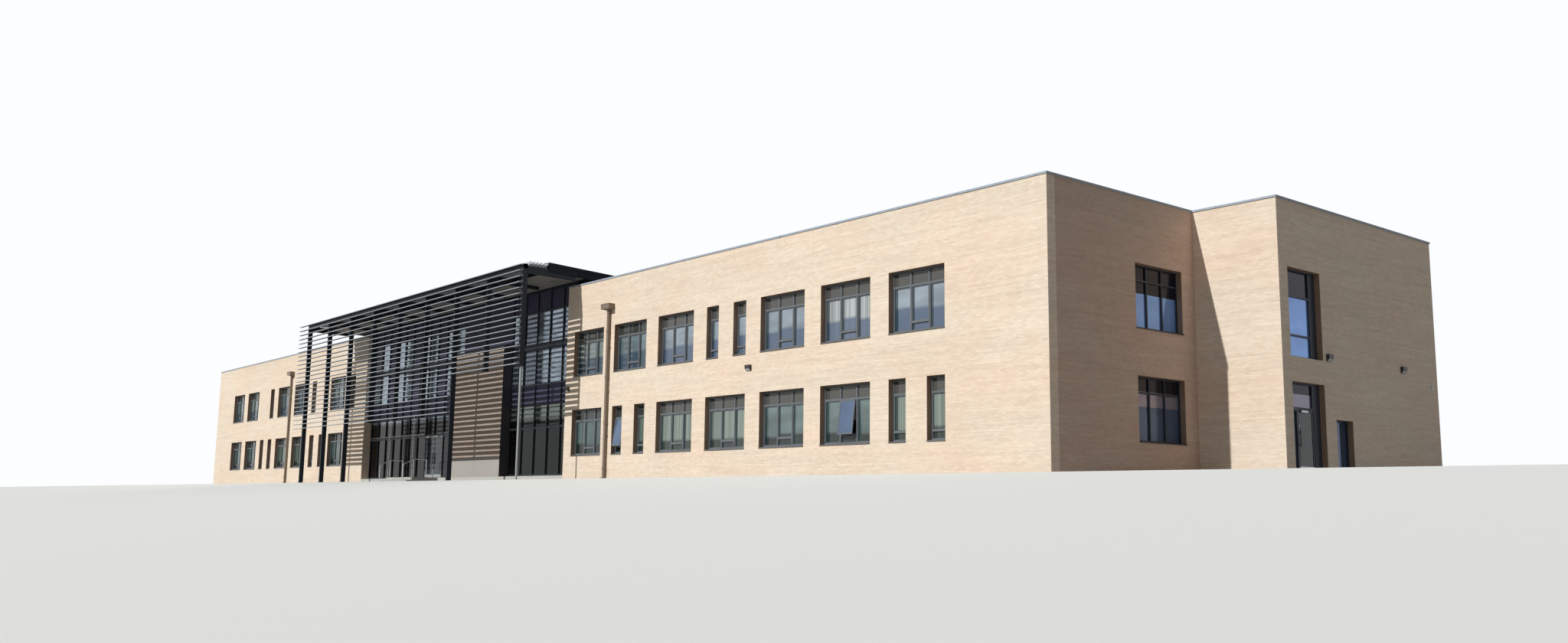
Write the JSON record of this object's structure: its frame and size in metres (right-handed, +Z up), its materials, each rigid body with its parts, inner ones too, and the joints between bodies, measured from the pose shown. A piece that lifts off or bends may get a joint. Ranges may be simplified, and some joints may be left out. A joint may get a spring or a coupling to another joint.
{
  "type": "school building, 1:10 scale model",
  "caption": "Long two-storey buff brick school building with a glazed entrance hall behind a stepped horizontal louvre screen and flat canopy roof, and a stepped-out end block.",
  "frame": {"origin": "middle of the building plan on the underside of the ground floor slab, at the lowest ground level", "axes": "+X along the front from the left end to the right end seen from the front, +Y into the building, +Z up"},
  "size_m": [9.098, 2.242, 1.029],
  "materials": {
    "buff_brick": "matt buff brick in stretcher bond",
    "concrete": "smooth concrete",
    "pale_stone": "pale rendered plinth",
    "grey_cladding": "grey roof sheet and soffit",
    "coping_metal": "satin grey",
    "dark_frame": "satin anthracite",
    "window_glass": "clear, slightly blue",
    "pale_blind": "woven roller blind",
    "dark_panel": "satin dark blue-grey",
    "screen_metal": "satin grey",
    "post_metal": "satin dark grey",
    "pale_metal": "satin pale grey",
    "brushed_steel": "brushed",
    "light_body": "satin grey",
    "white_plastic": "gloss white"
  },
  "bodies": {
    "building": {"cameras": "white_plastic", "canopy_arms": "post_metal", "canopy_louvres": "screen_metal", "copings": "coping_metal", "corner_post": "pale_metal", "door_pivots": "brushed_steel", "downpipes": "dark_frame", "end_block_front_wall": "buff_brick", "end_door_frame": "dark_frame", "end_wall": "buff_brick", "end_wall_door_bay": "buff_brick", "entrance_brick_panel": "buff_brick", "entrance_handrails": "brushed_steel", "entrance_plinth": "pale_stone", "entrance_steps": "concrete", "first_floor_slab": "concrete", "front_wall_left": "buff_brick", "front_wall_right": "buff_brick", "ground_floor_slab": "concrete", "hall_frame_low": "dark_frame", "hall_frame_right": "dark_frame", "hall_frame_upper": "dark_frame", "hall_glass": "window_glass", "hall_panels": "dark_panel", "hall_roof": "grey_cladding", "hall_side_walls": "grey_cladding", "left_end_wall": "buff_brick", "rear_wall": "buff_brick", "return_wall": "buff_brick", "roof_decks": "concrete", "screen_blades_lower": "screen_metal", "screen_blades_upper": "screen_metal", "screen_posts": "post_metal", "wall_lights": "light_body", "window_blinds": "pale_blind", "window_frames_ends": "dark_frame", "window_frames_front": "dark_frame", "window_frames_rear": "dark_frame", "window_glass_ends": "window_glass", "window_glass_front": "window_glass", "window_glass_rear": "window_glass", "window_sash_glass": "window_glass", "window_sash_open": "dark_frame"},
    "entrance_leaf_left": {"entrance_leaf_left": "dark_frame", "entrance_leaf_left_glass": "window_glass"},
    "entrance_leaf_right": {"entrance_leaf_right": "dark_frame", "entrance_leaf_right_glass": "window_glass"},
    "end_door_leaf": {"end_door_leaf": "dark_frame", "end_door_leaf_glass": "window_glass"}
  },
  "joints": [
    {"name": "entrance_leaf_left_hinge", "type": "hinge", "parent": "building", "child": "entrance_leaf_left", "pos_m": [-0.43686, -0.905, 0.03], "axis": [0, 0, -1], "range_deg": [0, 90]},
    {"name": "entrance_leaf_right_hinge", "type": "hinge", "parent": "building", "child": "entrance_leaf_right", "pos_m": [-0.22168, -0.905, 0.03], "axis": [0, 0, 1], "range_deg": [0, 90]},
    {"name": "end_door_hinge", "type": "hinge", "parent": "building", "child": "end_door_leaf", "pos_m": [4.47825, 0.0465, 0.03], "axis": [0, 0, 1], "range_deg": [0, 90]}
  ]
}
